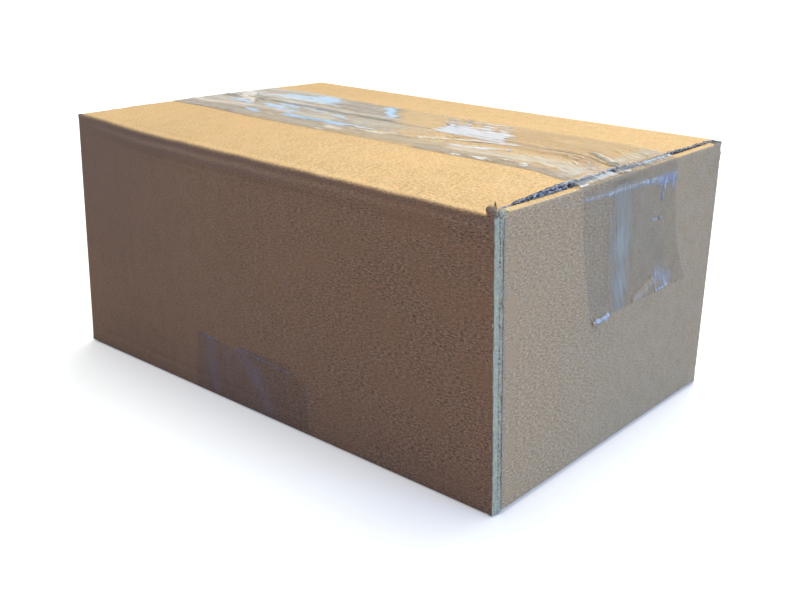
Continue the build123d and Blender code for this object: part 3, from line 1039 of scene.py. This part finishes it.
# Marks in the crosswise strip on the -Y panel, in X and Z
LOW_TONE = (0.85, 0.85, 0.85)
LOW_LINE = (0.60, 0.58, 0.52)
LOW_HAZE = {
    LOW_TONE: [
        (-25, 11, 3, 11, 14, 0.07), (-21, 18, -19.5, 3, 2.8, 0.2), (-13, 18, -12.5, 8, 1.6, 0.1),
        (-7, 18, 0, 12, 3, 0.2), (0, 12, 5, 3, 3, 0.18),
    ],
}
LOW_MARKS = {
    LOW_LINE: [
        (-26, 19, -9, 18.9, 0.5, 0.8), (-9, 18.9, 22, 17, 0.45, 0.78), (21.8, 15, 21.5, 1, 0.35, 0.55),
    ],
}


def low_strip_spot(s, t, share):
    """Place in the crosswise strip: s along it from the bottom seam, below 0 on the -Y side, t across."""
    s, t, share = (np.asarray(c, float) for c in (s, t, share))
    near = s < 0
    reach = np.abs(s)
    flap = WIDTH / 2
    x = lerp(LOW_LEFT, LOW_RIGHT, t)
    seen_cut = lerp(20.0, 18.4, smooth(t, 0, 0.36)) + 1.5 * smooth(t, 0.36, 0.42)
    seen_cut = seen_cut - 3.2 * smooth(t, 0.86, 0.92)
    cut = np.where(near, seen_cut, LOW_HIDDEN_CUT) - teeth(t, LOW_PITCH, LOW_DEPTH)
    up = np.clip((reach - flap) / LOW_CLIMB, 0, 1) * cut
    x = x - np.where(near, 1.9 * smooth(18 - up, 0, 18) * (1 - t), 0)
    v = np.where(reach > flap, up, reach - flap)
    u = np.where(near, NEAR_MIDDLE - x, FAR_MIDDLE + x)
    fold_line = np.where(near, 0.10 * along_line(x, v, (-9, 18.4, 22, 16.6), 0.5), 0)
    return place(u, v, -(BONDED + fold_line + FILM * (1 - share)))


def low_looks(x, y, z, _):
    """Haze and marks of the crosswise strip, on the -Y panel only."""
    near = (y < 1 - WIDTH / 2)[:, None]
    return marked(x, z, LOW_HAZE) * near, marked(x, z, LOW_MARKS) * near


def build_strip(side, s, columns, spot, looks):
    """One strip of film, with grid lines at s along it."""
    t = np.linspace(0, 1, columns)
    on = np.ones((len(s) - 1, columns - 1), bool)
    points, faces, _, flat = sheet(s, t, on, spot, [0, 1])
    # Haze and marks, with painted reflections, highlights and shade
    haze_and_reflection, mark = looks(*points.T, flat[:, 0])
    fields = {"strip": flat * (1, TAPE_WIDTH, 1), "haze_and_reflection": haze_and_reflection, "mark": mark}
    finishes, node = [tape_finish(f"clear_film_{side}")], f"{side}_tape"
    piece(f"{node}_film", points, faces, finishes, fields, None, node)


def build_tapes():
    ends = RAW_END, RAW_END + TENT_RUN, RAW_END + STRIP_RUN
    s = spaced([*(-end for end in ends[::-1]), *ends], *TOP_STRIP_LINES)
    build_strip("top", s, TOP_COLUMNS, top_strip_spot, top_looks)
    fold, end = WIDTH / 2, WIDTH / 2 + LOW_CLIMB
    s = spaced([-end, -fold, 0, fold, end], *LOW_STRIP_LINES)
    build_strip("bottom", s, LOW_COLUMNS, low_strip_spot, low_looks)


# Torn fibres along the raw edges

def tube_faces(rings, sides, start=0):
    """Faces of a closed tube whose points are listed ring by ring and numbered from start."""
    number = start + np.arange(rings * sides).reshape(rings, sides)
    after = np.roll(number, -1, axis=1)
    walls = np.stack([number[:-1], after[:-1], after[1:], number[1:]], axis=-1).reshape(-1, 4)
    return [number[0].tolist(), number[-1][::-1].tolist(), *walls.tolist()]


FIBRE_WIDE, FIBRE_THIN, FIBRE_TAPER = 1.6, 0.5, 0.85


def fibre(root, tip, sag, thickness, start, sides=4, rings=5):
    """A hair of paper from root to tip: a closed tube, bowed and tapering, numbered from start."""
    root, tip, sag = np.array(root, float), np.array(tip, float), np.array(sag, float)
    axis = (tip - root) / np.linalg.norm(tip - root)
    first = np.cross(axis, (0.3, 0.5, 0.8))
    first /= np.linalg.norm(first)
    second = np.cross(axis, first)
    share = np.linspace(0, 1, rings)[:, None, None]
    angle = 2 * math.pi * np.arange(sides)[:, None] / sides
    middle = lerp(root, tip, share) + sag * 4 * share * (1 - share)
    flat_ring = FIBRE_WIDE * np.cos(angle) * first + FIBRE_THIN * np.sin(angle) * second
    points = middle + thickness * (1 - FIBRE_TAPER * share) * flat_ring
    return points.reshape(-1, 3), tube_faces(rings, sides, start)


EAR_SIZE = (1.75, 0.6, 1.35)
EAR_WEAR = (0.05, 0.50, 0.0, 0.8)
SPIKE_WEAR = (0.75, 0.0, 0.6, 0.8)


def build_ear():
    """The end of the long fold, crushed into a rounded ear with a pointed bit of paper on it."""
    middle = np.array((LENGTH / 2 - 1.8, 0.35 - WIDTH / 2, SHORT_TOP + 0.5))
    rings, sides = 14, 28
    levels = np.linspace(0.04, math.pi - 0.04, rings)
    around, down = np.meshgrid(np.linspace(0, 2 * math.pi, sides, False), levels)
    out, up = np.sin(down) * np.cos(around), np.sin(down) * np.sin(around)
    ball = np.stack([out, np.cos(down), up], axis=-1)
    crumple = 1 + 0.07 * waver(around * 3 + down * 2, 2.3, 61) + 0.05 * np.sin(9 * up)
    points = (middle + ball * EAR_SIZE * crumple[..., None]).reshape(-1, 3)
    faces = tube_faces(rings, sides)
    foot, tip = middle + (0.65, 0.3, 0.7), middle + (0.7, 0.3, 2.3)
    spike, spike_faces = fibre(foot, tip, (0, 0.05, 0), 0.62, len(points))
    faces += spike_faces
    wear_and_shading = np.repeat([EAR_WEAR, SPIKE_WEAR], (len(points), len(spike)), axis=0)
    points = np.concatenate([points, spike])
    piece("crushed_ear", points, faces, [kraft_finish("kraft_ear")], {"blank": points, "wear_and_shading": wear_and_shading})


FLAP_FIBRES, CUT_FIBRES, FRINGE_FIBRES, TUFT_FIBRES, SIDE_FIBRES = 190, 150, 260, 120, 26


def build_fibres():
    """Frayed liner along the flap ends and the glued corner."""
    rng = np.random.default_rng(7)
    points, faces, depths, finishes = [], [], [], []

    def add(root, tip, sag, thickness, depth=PALE_DEPTH, finish=1):
        made, walls = fibre(root, tip, sag, thickness, len(points))
        depths.extend([depth] * len(made))
        finishes.extend([finish] * len(walls))
        faces.extend(walls)
        points.extend(made)

    for end in (-1, 1):
        for y in np.sort(rng.uniform(-53, 53, FLAP_FIBRES)):
            below = rng.choice([0.1, 0.3, 1.6])
            height = HEIGHT + float(crown(end * RAW_END, y) - sag(end * RAW_END, y)) - below
            root = (end * (RAW_END - 0.5), y, height)
            reach = rng.uniform(0.1, 0.9) if end > 0 else 0.2
            tip = (end * (RAW_END + reach), y + rng.normal(0, 0.9), height + rng.uniform(-0.6, 0.05))
            depth = LIP_DEPTH if below < 0.2 and y < -22 else PALE_DEPTH
            add(root, tip, (0, 0, rng.uniform(-0.1, 0.1)), rng.uniform(0.10, 0.26), depth, 0)
    cut = LENGTH / 2 - SETBACK
    for z in np.sort(rng.uniform(2, 77, CUT_FIBRES)):
        y = -WIDTH / 2 + rng.choice([0.15, 0.3, 2.7])
        tip = (cut + rng.uniform(0.05, 0.5), y + rng.normal(0, 0.3), z + rng.normal(0, 0.8))
        add((cut - 0.4, y, z), tip, (0, 0, rng.uniform(-0.2, 0.2)), rng.uniform(0.06, 0.18))
    for z in np.sort(rng.uniform(3, 76, FRINGE_FIBRES)):
        side = rng.choice([0.0, TAB_INSET])
        root = (LENGTH / 2 - lerp(SETBACK, 0.12, side / TAB_INSET), side - WIDTH / 2, z)
        tip = np.add(root, (0.12, rng.normal(0, 0.25), rng.normal(0, 0.9)))
        add(root, tip, (0, 0, rng.uniform(-0.2, 0.2)), rng.uniform(0.05, 0.12))
    # Torn paper at the top of the glued corner
    corner = np.array((LENGTH / 2, -WIDTH / 2, SHORT_TOP))
    for number in range(TUFT_FIBRES):
        across = rng.uniform(0.0, 3.4)
        root = np.array((rng.uniform(-1.0, -0.2), across, rng.uniform(-1.1, 0.0)))
        tip = root + rng.uniform((-0.3, -0.5, 0.6), (0.3, 1.3, 2.4 - 0.4 * across))
        sag_by, thickness = rng.uniform(-0.25, 0.25, 3), rng.uniform(0.08, 0.22)
        add(corner + root, corner + tip, sag_by, thickness, finish=number % 2)
    for _ in range(SIDE_FIBRES):
        root = np.array((rng.uniform(-0.5, -0.1), rng.uniform(1.6, 3.2), rng.uniform(-1.4, 0.6)))
        tip = root + rng.uniform((-0.1, 0.8, -1.0), (0.15, 2.6, 0.8))
        add(corner + root, corner + tip, rng.uniform(-0.3, 0.3, 3), rng.uniform(0.06, 0.14))
    blank = np.array(points)
    blank[:, 2] = depths
    materials = [torn_finish(), cut_finish()]
    piece("torn_fibres", points, faces, materials, {"blank": blank}, np.array(finishes))


# Camera, floor and light

CAMERA_AT = (0.21878, -0.23857, 0.13841)
AZIMUTH, ELEVATION, ROLL = np.radians((41.793, 17.998, 0.598)).tolist()
LENS, SENSOR = 46.467, 36.0
SHIFT = 0.0081, -0.0413


def build_camera():
    data = bpy.data.cameras.new("photograph_view")
    data.lens, data.sensor_width = LENS, SENSOR
    data.shift_x, data.shift_y = SHIFT
    data.clip_start = 0.01
    camera = added("photograph_view", data)
    turned = Matrix.Rotation(AZIMUTH, 4, "Z") @ Matrix.Rotation(math.pi / 2 - ELEVATION, 4, "X")
    camera.matrix_world = Matrix.Translation(CAMERA_AT) @ turned @ Matrix.Rotation(ROLL, 4, "Z")
    bpy.context.scene.camera = camera


FLOOR_HALF, FLOOR_LEVEL = 6.0, -0.0002
FLOOR_PALE = (0.93, 0.93, 0.93, 1)
FLOOR_GREY = (0.86, 0.87, 0.88, 1)
FLOOR_BOUNCE = (0.235, 0.20, 0.24, 1)  # as the parcel sees it
FLOOR_GLOW = (0.34, 0.34, 0.33, 1)
BLACK, WHITE_AIR, DIM_AIR = (0, 0, 0, 1), (1, 1, 1, 1), (0.10, 0.105, 0.17, 1)


def floor_finish():
    make = Finish("pale_floor")
    seen = make.node("ShaderNodeLightPath", output="Is Camera Ray")
    paper = make.noise(make.node("ShaderNodeTexCoord", output="Object"), 40.0, 3.0)
    pale = make.blend(paper * 0.04, FLOOR_PALE, FLOOR_GREY)
    return make.done(make.node("ShaderNodeBsdfPrincipled", (), {
        "Base Color": make.blend(seen, FLOOR_BOUNCE, pale),
        "Roughness": 0.9,
        "Specular IOR Level": 0.0,
        "Emission Color": make.blend(seen, BLACK, FLOOR_GLOW),
        "Emission Strength": 1.0,
    }))


def build_floor():
    mesh = bpy.data.meshes.new("studio_floor")
    signs = ((-1, -1), (1, -1), (1, 1), (-1, 1))
    corners = [(x * FLOOR_HALF, y * FLOOR_HALF, FLOOR_LEVEL) for x, y in signs]
    mesh.from_pydata(corners, [], [(0, 1, 2, 3)])
    mesh.materials.append(floor_finish())
    floor = added("studio_floor", mesh)


# Soft lights: direction from the parcel to the light, strength, colour, spread in degrees
LIGHTS = {
    "key_light": ((-0.10, 0.22, 1.0), 2.50, (1.0, 0.99, 0.78), 50),
    "back_light": ((-0.35, 0.8, 0.6), 0.80, (1.0, 0.99, 0.85), 50),
    "side_light": ((1.0, 0.12, 0.25), 3.00, (0.240, 0.462, 1.0), 40),
    "front_light": ((-0.2, -1.0, 0.15), 0.22, (0.185, 0.235, 1.0), 40),
}


def build_lights():
    for name, (direction, strength, colour, spread) in LIGHTS.items():
        data = bpy.data.lights.new(name, "SUN")
        data.energy, data.color, data.angle = strength, colour, math.radians(spread)
        lamp = added(name, data)
        lamp.rotation_euler = Vector(direction).to_track_quat("Z", "Y").to_euler()


def build_world():
    """White for whatever sees it directly or in the gloss, and a dim soft light from all round."""
    make = Finish("studio", "worlds")
    bpy.context.scene.world = make.owner
    rays = [f"Is {kind} Ray" for kind in ("Camera", "Glossy", "Transmission")]
    camera, glossy, through = (make.node("ShaderNodeLightPath", output=ray) for ray in rays)
    seen = (camera + glossy + through).clip()
    dim = make.node("ShaderNodeBackground", (), {"Color": DIM_AIR})
    glow = make.node("ShaderNodeBackground", (), {"Color": WHITE_AIR})
    make.done(make.node("ShaderNodeMixShader", (), {0: seen, 1: dim, 2: glow}), "ShaderNodeOutputWorld")


build_carton()
build_tapes()
build_ear()
build_fibres()
build_camera()
build_floor()
build_world()
build_lights()
bpy.context.scene.view_settings.view_transform = "Standard"
